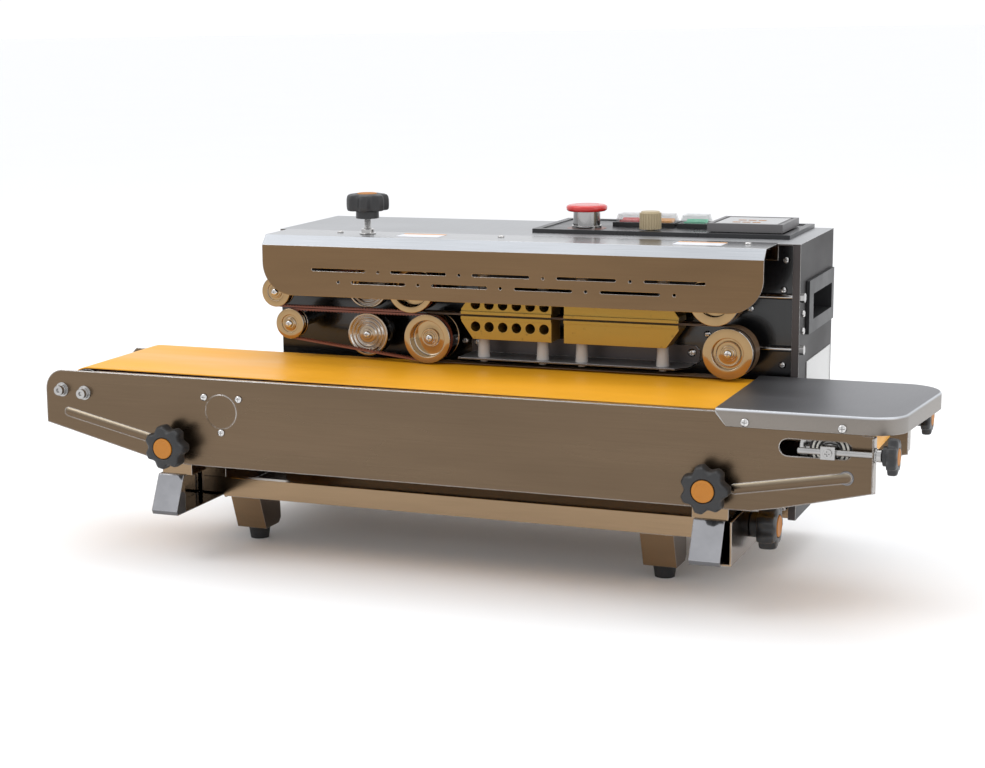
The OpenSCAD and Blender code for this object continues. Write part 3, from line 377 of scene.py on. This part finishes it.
def add(name, verts, faces, material, body, smooth=True, bevel=0):
    me = bpy.data.meshes.new(name)
    me.from_pydata([tuple(v) for v in verts], [], faces)
    me.validate()
    bm = bmesh.new()
    bm.from_mesh(me)
    bmesh.ops.remove_doubles(bm, verts=bm.verts, dist=1e-7)
    bmesh.ops.recalc_face_normals(bm, faces=bm.faces)
    for f in bm.faces:
        f.smooth = smooth
    for e in bm.edges:
        e.smooth = len(e.link_faces) != 2 or e.calc_face_angle(0) < SHARP
    bm.to_mesh(me)
    bm.free()
    me.materials.append(M[material])
    o = bpy.data.objects.new(name, me)
    bpy.context.scene.collection.objects.link(o)
    if bevel:
        b = o.modifiers.new("bevel", "BEVEL")
        b.width, b.segments, b.limit_method = bevel, 2, "ANGLE"
        b.angle_limit = SHARP
    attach(o, body)
    return o


def axes(axis):
    """Matrix that turns local +Z onto the given row axis."""
    return Vector(axis).to_track_quat("Z", "Y").to_matrix().to_4x4()


def lathe(name, profile, origin, axis, material, body, n, close=True):
    """Turned piece: profile is [(radius, height), ...] in mm along the axis."""
    verts, faces = [], []
    for i in range(n):
        a = 2 * math.pi * i / n
        for r, h in profile:
            verts.append((r * math.cos(a) * MM, r * math.sin(a) * MM, h * MM))
    p = len(profile)
    for i in range(n):
        j = (i + 1) % n
        for k in range(p - 1):
            faces.append((i * p + k, j * p + k, j * p + k + 1, i * p + k + 1))
        if close and profile[0] != profile[-1] and profile[0][0] > 0:
            faces.append((i * p + p - 1, j * p + p - 1, j * p, i * p))
    o = add(name, verts, faces, material, body)
    world = Matrix.Translation(origin) @ axes(axis)
    o.matrix_world = world
    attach(o, body)
    return o


def rounded(profile, r=0.4, steps=3):
    """Rounds the inner corners of a lathe profile."""
    out = [profile[0]]
    for a, b, c in zip(profile, profile[1:], profile[2:]):
        A, B, C = Vector(a), Vector(b), Vector(c)
        la, lc = (A - B).length, (C - B).length
        d = min(r, la * 0.45, lc * 0.45)
        if d < 0.02:
            out.append(b)
            continue
        p, q = B + (A - B) * d / la, B + (C - B) * d / lc
        for s in range(steps + 1):
            t = s / steps
            v = p * (1 - t) ** 2 + B * 2 * t * (1 - t) + q * t * t
            out.append((v.x, v.y))
    out.append(profile[-1])
    return out


def islands(node):
    """Boxes of the separate solids of a CAD node, as (low, high)."""
    me = NODES[node].data
    key = {}
    root = list(range(len(me.vertices)))

    def find(i):
        while root[i] != i:
            root[i] = root[root[i]]
            i = root[i]
        return i

    for v in me.vertices:
        k = tuple(round(c * 2e5) for c in v.co)
        if k in key:
            root[find(v.index)] = find(key[k])
        else:
            key[k] = v.index
    for p in me.polygons:
        first = find(p.vertices[0])
        for i in p.vertices[1:]:
            root[find(i)] = first
    groups = {}
    for v in me.vertices:
        groups.setdefault(find(v.index), []).append(v.co)
    return [(Vector(map(min, zip(*g))), Vector(map(max, zip(*g)))) for g in groups.values()]


# ---------- detailed pieces ----------

def at(x, y, z):
    """Row-frame point from a point in the drawing's own millimetres."""
    return Vector(((x - PLATE_X) * MM, (y - PLATE_Y) * MM, z * MM))


def star_knob(name, foot, axis, d, h, body, node):
    """Moulded seven lobe grip of diameter d and height h, with its orange cap."""
    n, lobes, R = 196, 7, d / 2
    rings = [(0.50, 0.0, 0), (0.53, 0.01, 0), (0.53, 0.27, 0), (0.62, 0.31, 0.2), (0.88, 0.31, 1),
             (0.96, 0.335, 1), (0.992, 0.40, 1), (1.0, 0.54, 1), (0.994, 0.74, 1), (0.965, 0.85, 1),
             (0.91, 0.915, 1), (0.80, 0.95, 0.9), (0.66, 0.968, 0.4), (0.52, 0.975, 0), (0.49, 0.955, 0),
             (0.475, 0.90, 0), (0.0, 0.90, 0)]
    verts, faces = [], []
    for size, z, w in rings:
        for i in range(n):
            a = 2 * math.pi * i / n
            t = abs((a * lobes / (2 * math.pi)) % 1 - 0.5) * 2
            dip = 0.175 * max(0.0, 1 - (t / 0.72) ** 2) ** 1.4
            r = size * R * (1 - dip * w) * MM
            verts.append((r * math.cos(a), r * math.sin(a), z * h * MM))
    for k in range(len(rings) - 1):
        for i in range(n):
            j = (i + 1) % n
            faces.append((k * n + i, k * n + j, (k + 1) * n + j, (k + 1) * n + i))
    faces.append(tuple(range(n - 1, -1, -1)))
    knob = add(name, verts, faces, "black_plastic", body)
    knob.matrix_world = Matrix.Translation(foot) @ axes(axis)
    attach(knob, body)
    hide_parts(node)
    c = 0.455 * R
    cap = [(0, 0.9 * h), (c, 0.9 * h), (c, 0.975 * h), (c * 0.93, h), (c * 0.74, h),
           (c * 0.66, 0.985 * h), (c * 0.5, 0.98 * h), (0, 0.98 * h)]
    lathe(name + "_cap", rounded(cap, 0.3), foot, axis, "cap_orange", body, 72,
          close=False)


def phillips(name, seat, axis, r, h, body, node=None):
    """Domed pan head with a cross recess, standing on its seat."""
    n = 48
    rings = [(1.0, 0.0), (1.0, 0.3), (0.94, 0.58), (0.8, 0.82), (0.6, 0.95), (0.45, 1.0), (0.2, 1.0)]
    verts, faces = [], []
    for size, z in rings:
        for i in range(n):
            a = 2 * math.pi * i / n
            dent = 0.5 * h * max(0, 1 - abs(math.sin(2 * a)) / 0.42) if size < 0.55 else 0
            verts.append((size * r * MM * math.cos(a), size * r * MM * math.sin(a),
                          (z * h - dent) * MM))
    verts.append((0, 0, 0.45 * h * MM))
    for k in range(len(rings) - 1):
        for i in range(n):
            j = (i + 1) % n
            faces.append((k * n + i, k * n + j, (k + 1) * n + j, (k + 1) * n + i))
    last = (len(rings) - 1) * n
    for i in range(n):
        faces.append((last + i, last + (i + 1) % n, len(verts) - 1))
    faces.append(tuple(range(n - 1, -1, -1)))
    o = add(name, verts, faces, "polished", body)
    o.matrix_world = Matrix.Translation(seat) @ axes(axis)
    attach(o, body)
    if node:
        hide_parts(node)


def screws(node, body):
    """A domed screw in the place of every head in a CAD screw node."""
    for i, (lo, hi) in enumerate(islands(node)):
        size, mid = hi - lo, (lo + hi) / 2
        k = min(range(3), key=lambda q: size[q])
        axis = Vector((0, 0, 0))
        if k == 1:
            axis.y = 1 if node == "plate_screws" and mid.y > 0 else -1
        else:
            axis[k] = 1 if k == 2 or mid.x > 0 else -1
        phillips(f"{node}_{i:02d}", mid - axis * size[k] / 2, axis, max(size) / 2 / MM,
                 size[k] / MM, body, node)


def slab(name, lo, hi, material, body, bevel=0.0002):
    """Thin rectangular plate between two drawing points."""
    a, b = at(*lo), at(*hi)
    v = [(x, y, z) for x in (a.x, b.x) for y in (a.y, b.y) for z in (a.z, b.z)]
    f = [(0, 1, 3, 2), (4, 6, 7, 5), (0, 4, 5, 1), (2, 3, 7, 6), (0, 2, 6, 4), (1, 5, 7, 3)]
    return add(name, v, f, material, body, smooth=False, bevel=bevel)


# star knobs with their studs, washers and nuts
for side, x in (("left", 144), ("right", 668.4)):
    body, foot, out = f"{side}_clamp", at(x, -1.4, 115), (0, -1, 0)
    star_knob(f"{side}_grip", foot, out, GRIP_D, GRIP_H, body, f"clamp_knob_{side}")
    lathe(f"{side}_grip_washer", rounded([(4.1, -1), (7, -1), (7, 0), (4.1, 0)], 0.25), foot, out,
          "polished", body, 64)
    stud = [(0, -12.9), (3.5, -12.9), (4, -12.4), (4, -10.3), (7, -10.2), (7, -5.3), (4, -5.2),
            (4, 0), (0, 0)]
    lathe(f"{side}_grip_stud", rounded(stud, 0.25), foot, out, "polished", body, 48,
          close=False)

foot = at(689.1, 70, 66)
star_knob("rail_grip", foot, (1, 0, 0), GRIP_D, GRIP_H, "rail_clamp", "rail_knob")
lathe("rail_grip_stud", rounded([(0, -10.3), (4, -10.3), (4, 0), (0, 0)], 0.3), foot, (1, 0, 0),
      "polished", "rail_clamp", 48, close=False)

foot = at(PRESSURE_X, PRESSURE_Y, 321)
star_knob("pressure_grip", foot, (0, 0, 1), GRIP_D, GRIP_H, "pressure_screw", "pressure_knob")
thread = [(0, -31.9)]
for i in range(34):
    thread += [(3.0, -31.9 + i * 0.95), (3.4, -31.5 + i * 0.95)]
lathe("pressure_thread", thread + [(3.4, 0.3), (0, 0.3)], foot, (0, 0, 1), "polished",
      "pressure_screw", 48, close=False)
nut = [(4.0, 0.05), (8.2, 0.05), (8.2, 1.0), (6.2, 1.1), (6.2, 4.6), (5.6, 5.2), (4.0, 5.2)]
lathe("pressure_nut", rounded(nut, 0.3), at(PRESSURE_X, PRESSURE_Y, 305.5), (0, 0, 1), "polished",
      "head", 64)

for side, y in (("front", -6), ("rear", 171.5)):
    body, foot, out = f"{side}_tensioner", at(815, y, TAIL_ROLL[1]), (1, 0, 0)
    star_knob(f"{side}_tension_grip", foot, out, 32, 13, body, f"tension_knob_{side}")
    rod = [(0, -71), (2.2, -71), (2.7, -70.4), (2.7, -6.7), (6.5, -6.6), (6.5, -5.5), (5.5, -5.3),
           (5.6, -1.4), (4.6, -0.8), (2.7, -0.7), (2.7, 0.3), (0, 0.3)]
    lathe(f"{side}_tension_rod", rounded(rod, 0.2), foot, out, "polished", body, 48,
          close=False)

screws("body_screws", "head")
screws("plate_screws", "conveyor")


# wheels: heights are millimetres back from each wheel's own front plane
def wheel(name, node, body, x, z, y, profile, seat, material):
    o = lathe(name, rounded(profile, 0.35), at(x, y, z), (0, 1, 0), material, body, 128,
              close=False)
    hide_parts(node)
    phillips(name + "_screw", at(x, y + seat, z), (0, -1, 0), 3.6, 2.6, body)


ripple = [(8.1 + i * 0.38, 0.75 - 0.75 * math.cos(2 * math.pi * i / 10)) for i in range(31)]
DRIVE = [(0, 6.8), (5, 6.8), (5.4, 7.1), (5.4, 8), (6.8, 8), (7, 8.3), (7.2, 8), (8.7, 8), (9, 8.3),
         (9, 11), (16.6, 11), (17.4, 10.4), (17.8, 9.4), (17.8, 0.5), (18.2, 0), (23.5, 0),
         (23.9, 0.4), (23.9, 2.7), (23.6, 3), (21.1, 3.05), (21.1, 9.4), (23.2, 9.45), (23.2, 25.4),
         (23.9, 25.5), (23.9, 27.2), (23.6, 27.4), (5, 27.4), (5, 56), (25.2, 56), (25.2, 65),
         (10, 65), (10, 70), (5, 70), (5, 75), (0, 75)]
IDLER = [(0, 1.3), (5, 1.3), (5.4, 1.6), (5.4, 2.5), (7.1, 2.5), (7.4, 2.8), (7.4, 3.5), (10.7, 3.5),
         (11, 3.2), (11, 2.3), (11.25, 2), (11.5, 2.3), (11.5, 6), (14.6, 6), (14.6, 0.4), (15, 0),
         (23.1, 0), (23.5, 0.4), (23.5, 2.8), (23.2, 3.1), (23.2, 27), (5, 27), (5, 56), (8, 56),
         (8, 60), (0, 60)]
GUIDE = [(0, -1.2), (5, -1.2), (5.4, -0.9), (5.4, 0), (6.2, 0), (6.4, 0.2), (6.4, 1.8), (9, 1.8),
         (9, 0.2), (9.2, 0), (14.8, 0), (15.2, 0.4), (15.2, 2.5), (14.9, 2.8), (12.6, 2.8),
         (12.6, 9.6), (14.9, 9.6), (15.2, 9.9), (15.2, 11.7), (14.9, 12), (5, 12), (5, 54), (8, 54),
         (8, 58), (0, 58)]
PRESS = [(0, -1.2), (5, -1.2), (5.4, -0.9), (5.4, 0), *ripple, (20.8, 0), (21.4, 0.6),
         (21.4, 12.4), (20.8, 13), (5, 13)]
PRESS_BACK = {"lower": [(5, 45.8), (8, 45.8), (8, 49.8), (0, 49.8)],
              "upper": [(5, 43.8), (6.2, 43.8), (6.2, 46.8), (0, 46.8)]}
for side, sign in (("lower", -1), ("upper", 1)):
    axle_z, pulley_z = BAND_Z + sign * WHEEL_DZ, BAND_Z + sign * PULLEY_DZ
    wheel(f"drive_{side}", f"drive_wheel_{side}", f"{side}_drive", DRIVE_X[side], axle_z, WHEEL_Y,
          DRIVE, 6.8, "wheel_painted_reflection")
    wheel(f"idler_{side}", f"idler_wheel_{side}", f"{side}_idler", IDLER_X[side], axle_z, WHEEL_Y,
          IDLER, 1.3, "wheel_painted_reflection")
    wheel(f"guide_{side}", f"guide_pulley_{side}", f"{side}_guide", PULLEY_X[side], pulley_z,
          WHEEL_Y, GUIDE, -1.2, "wheel_painted_reflection")
    wheel(f"press_{side}", f"press_wheel_{side}", f"{side}_press", PRESS_X, PRESS_Z[side], PRESS_Y,
          PRESS + PRESS_BACK[side], -1.2, "turned")


def loop(name, c1, r1, c2, r2, heights, steps, y0, y1, material, body, slot, edge=0.0):
    """Belt round two circles in the XZ plane; heights(i) is its inner and outer height over them."""
    dist = math.hypot(c2[0] - c1[0], c2[1] - c1[1])
    base = math.atan2(c2[1] - c1[1], c2[0] - c1[0])
    beta = math.acos((r1 - r2) / dist)
    run = math.sqrt(dist ** 2 - (r1 - r2) ** 2)
    legs = [(r1 * (2 * math.pi - 2 * beta), c1, r1, base + beta, True), (run, c1, r1, base - beta, False),
            (r2 * 2 * beta, c2, r2, base - beta, True), (run, c2, r2, base + beta, False)]
    total = sum(leg[0] for leg in legs)
    verts, faces = [], []
    for i in range(steps):
        s = total * i / steps
        for length, c, r, a, bent in legs:
            if s <= length:
                break
            s -= length
        q = a + s / r if bent else a
        x, z = (c[0], c[1]) if bent else (c[0] - math.sin(a) * s, c[1] + math.cos(a) * s)
        inner, outer = heights(i)
        ring = [(inner, y0), (outer - edge, y0), (outer, y0 + edge), (outer, y1 - edge), (outer - edge, y1),
                (inner, y1)] if edge else [(inner, y0), (outer, y0), (outer, y1), (inner, y1)]
        for hgt, y in ring:
            verts.append(at(x + (r + hgt) * math.cos(q), y, z + (r + hgt) * math.sin(q)))
    m = len(ring)
    for i in range(steps):
        j = (i + 1) % steps
        for k in range(m):
            l = (k + 1) % m
            faces.append((i * m + k, j * m + k, j * m + l, i * m + l))
    return add(name, verts, faces, material, body)


TOOTH = (1.2, 1.2, 0.95, 0.3, 0.05, 0.05, 0.3, 0.95)
TEETH = 124
for side, sign in (("lower", -1), ("upper", 1)):
    cog = loop(f"guide_belt_{side}", (PULLEY_X[side], BAND_Z + sign * PULLEY_DZ), 12.9,
               (DRIVE_X[side], BAND_Z + sign * WHEEL_DZ), 21.4, lambda i: (TOOTH[i % 8], 2.5),
               TEETH * 8, 133.3, 138.9, "cog", "head", "red_brown_belt")
    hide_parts("guide_belts")

face = loop("belt_face", HEAD_ROLL, HEAD_ROLL_R, TAIL_ROLL, TAIL_ROLL_R, lambda i: (0.45, 1.5),
            BELT_STEPS, *BELT_Y, "belt", "conveyor", "orange_belt", 0.25)
back = loop("belt_backing", HEAD_ROLL, HEAD_ROLL_R, TAIL_ROLL, TAIL_ROLL_R, lambda i: (0.0, 0.44),
            BELT_STEPS, *BELT_Y, "belt_back", "conveyor", "orange_belt")
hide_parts("conveyor_belt")
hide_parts("conveyor_belt")


def table_outline(inset, x0):
    """Half-open outline of the end table from its front left corner round to its back left corner."""
    pts = [(x0, -1.5 + inset)]
    for (cx, cy, r), a0, a1 in (((800, 28.5, 30), -90, -5.53), ((805, 132, 35), -5.53, 90)):
        for i in range(33):
            a = math.radians(a0 + (a1 - a0) * i / 32)
            pts.append((cx + (r - inset) * math.cos(a), cy + (r - inset) * math.sin(a)))
    return pts + [(x0, 167 - inset)]


def end_table():
    top, low, round_r, sheet = TABLE_TOP, 167.8, 2.6, 1.5
    rings = []
    for i in range(7):
        t = math.radians(90 * i / 6)
        rings.append((round_r * (1 - math.sin(t)), top - round_r * (1 - math.cos(t))))
    rings += [(0, 178.9), (0, 174), (0, low + 0.4), (0.4, low), (sheet - 0.4, low), (sheet, low + 0.4),
              (sheet, 174), (sheet, 178.9), (sheet, top - 2.6), (2.0, top - sheet - 0.3),
              (round_r, top - sheet)]
    verts, faces = [], []
    for inset, z in rings:
        x0 = TABLE_X0 + max(0, 179 - z) * 0.84
        verts += [at(x, y, z) for x, y in table_outline(inset, x0)]
    m = len(table_outline(0, 0))
    k = len(rings)
    for r in range(k - 1):
        for i in range(m - 1):
            faces.append((r * m + i, r * m + i + 1, (r + 1) * m + i + 1, (r + 1) * m + i))
    faces += [tuple(range(m)), tuple(range(k * m - 1, (k - 1) * m - 1, -1)),
              tuple(r * m for r in range(k)), tuple(r * m + m - 1 for r in range(k - 1, -1, -1)),
              (0, (k - 1) * m, k * m - 1, m - 1)]
    o = add("end_table_sheet", verts, faces, "table_steel", "conveyor")
    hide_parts("end_table")


end_table()

# emergency stop head, its stem and a dark red ring under it
stop = at(STOP_X, STOP_Y, 325.6)
mushroom = [(0, 3.7), (13.8, 3.7), (14, 0.4), (14.4, 0), (18.2, 0), (19.4, 0.9), (20, 2.2), (20, 4),
            (19.4, 5.2), (17.5, 6.1), (12.4, 6.5), (11.8, 6.2), (11.2, 6.4), (0, 6.5)]
o = lathe("estop_head", rounded(mushroom, 0.5), stop, (0, 0, 1), "red", "estop", 112,
          close=False)
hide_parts("estop_button")
lathe("estop_stem", [(0, -38.1), (6.2, -38.1), (6.5, -37.8), (6.5, 3.6), (0, 3.6)], stop, (0, 0, 1),
      "panel_black", "estop", 64, close=False)
lathe("estop_dark_red_ring", [(14.8, 0.02), (19.3, 0.02), (19.3, 0.2), (14.8, 0.2)],
      at(STOP_X, STOP_Y, 308.5), (0, 0, 1), "estop_dark_red", "head", 96)

# display window of the controller with two rows of three lit bars
slab("display_window", (612.3, 227.3, 317.12), (671.7, 286.7, 317.3), "window", "head")
for row, y in enumerate((238, 257)):
    for i in range(3):
        x = 626 + i * 9.6 + row * 1.5
        slab(f"display_bar_{row}{i}", (x, y, 317.31), (x + 7.2, y + 4.2, 317.42), "cap_orange", "head",
             0)

# bearing rings round the tail axle, seen through the slots of the side plates
AXLE_RINGS = ((6.3, 8.4, "polished"), (8.5, 10.4, "rubber"), (10.5, 12.2, "ivory"),
              (12.3, 13.8, "rubber"), (13.9, 15.6, "ivory"), (15.7, 17.6, "rubber"))
for side, y, sign in (("front", 2.0, 1), ("rear", 163.5, -1)):
    for i, (r0, r1, mat) in enumerate(AXLE_RINGS):
        step = 0.35 * (i % 2)
        lathe(f"axle_ring_{side}_{i}", rounded([(r0, step), (r1, step), (r1, 4.0), (r0, 4.0)], 0.25),
              at(TAIL_ROLL[0], y, TAIL_ROLL[1]), (0, sign, 0), mat, "takeup", 72)

# pressed ring at the outer end of the right rib
lathe("rib_end_ring", [(4.7, 0.1), (5.0, 0.35), (5.5, 0.5), (6.0, 0.35), (6.3, 0.1)],
      at(784, 0, 130), (0, -1, 0), "rail_chrome", "conveyor", 72)

# blank stickers on the hood
for i, (x0, x1, y0, y1) in enumerate(((318, 362, 140, 166), (594, 640, 140, 166))):
    slab(f"hood_sticker_{i}", (x0, y0, 305.52), (x1, y1, 305.68), "sticker", "head", 0)
    slab(f"hood_sticker_stripe_{i}", (x0, y1 - 6, 305.69), (x1, y1, 305.75), "sticker_edge", "head",
         0)


# ---------- light, floor and camera ----------

floor_mat = Mat("floor_pale", (0.95, 0.95, 0.95), 0.8)
floor_mat.done(floor_mat.vary(floor_mat.noise(2, detail=2), 0.99, 1.01))
me = bpy.data.meshes.new("floor")
FLOOR = 60
me.from_pydata([(-FLOOR, -FLOOR, 0), (FLOOR, -FLOOR, 0), (FLOOR, FLOOR, 0), (-FLOOR, FLOOR, 0)], [],
               [(0, 1, 2, 3)])
me.materials.append(floor_mat.m)
floor = bpy.data.objects.new("floor", me)
bpy.context.scene.collection.objects.link(floor)

world = bpy.data.worlds.new("studio")
world.use_nodes = True
bpy.context.scene.world = world
world.node_tree.nodes["Background"].inputs["Color"].default_value = (0.97, 0.98, 1.0, 1)
world.node_tree.nodes["Background"].inputs["Strength"].default_value = 1.06
bpy.context.scene.view_settings.view_transform = "Standard"


def area(name, spot, to, size, power):
    light = bpy.data.lights.new(name, "AREA")
    light.shape, light.size, light.size_y = "RECTANGLE", size[0], size[1]
    light.energy = power
    o = bpy.data.objects.new(name, light)
    o.location = spot
    o.rotation_euler = (Vector(to) - Vector(spot)).to_track_quat("-Z", "Y").to_euler()
    bpy.context.scene.collection.objects.link(o)


area("key", (-1.6, -1.4, 2.2), (0, 0, 0.1), (1.6, 1.2), 16)
area("top", (0.2, 0.6, 2.3), (0, 0, 0.2), (2.4, 1.2), 14)
area("fill", (2.4, -0.6, 1.2), (0.2, 0, 0.15), (1.2, 1.6), 6)

FOCAL_PX, IMAGE_W, SENSOR_MM = 2029.49, 985, 36
YAW, PITCH, ROLL = 0.4272, 0.1808, -0.0187
fwd = Vector((-math.sin(YAW) * math.cos(PITCH), math.cos(YAW) * math.cos(PITCH), -math.sin(PITCH)))
right = Vector((math.cos(YAW), math.sin(YAW), 0))
up = right.cross(fwd)
rolled_right = math.cos(ROLL) * right + math.sin(ROLL) * up
rolled_up = -math.sin(ROLL) * right + math.cos(ROLL) * up
cam = bpy.data.cameras.new("camera")
cam.sensor_width = SENSOR_MM
cam.lens = FOCAL_PX / IMAGE_W * SENSOR_MM
cam.shift_x, cam.shift_y = 0.1421, 0.0051
cam.clip_end = 200
camera = bpy.data.objects.new("camera", cam)
rot = Matrix((rolled_right, rolled_up, -fwd)).transposed().to_4x4()
camera.matrix_world = Matrix.Translation((0.6745, -1.8203, 0.5156)) @ rot
bpy.context.scene.collection.objects.link(camera)
bpy.context.scene.camera = camera
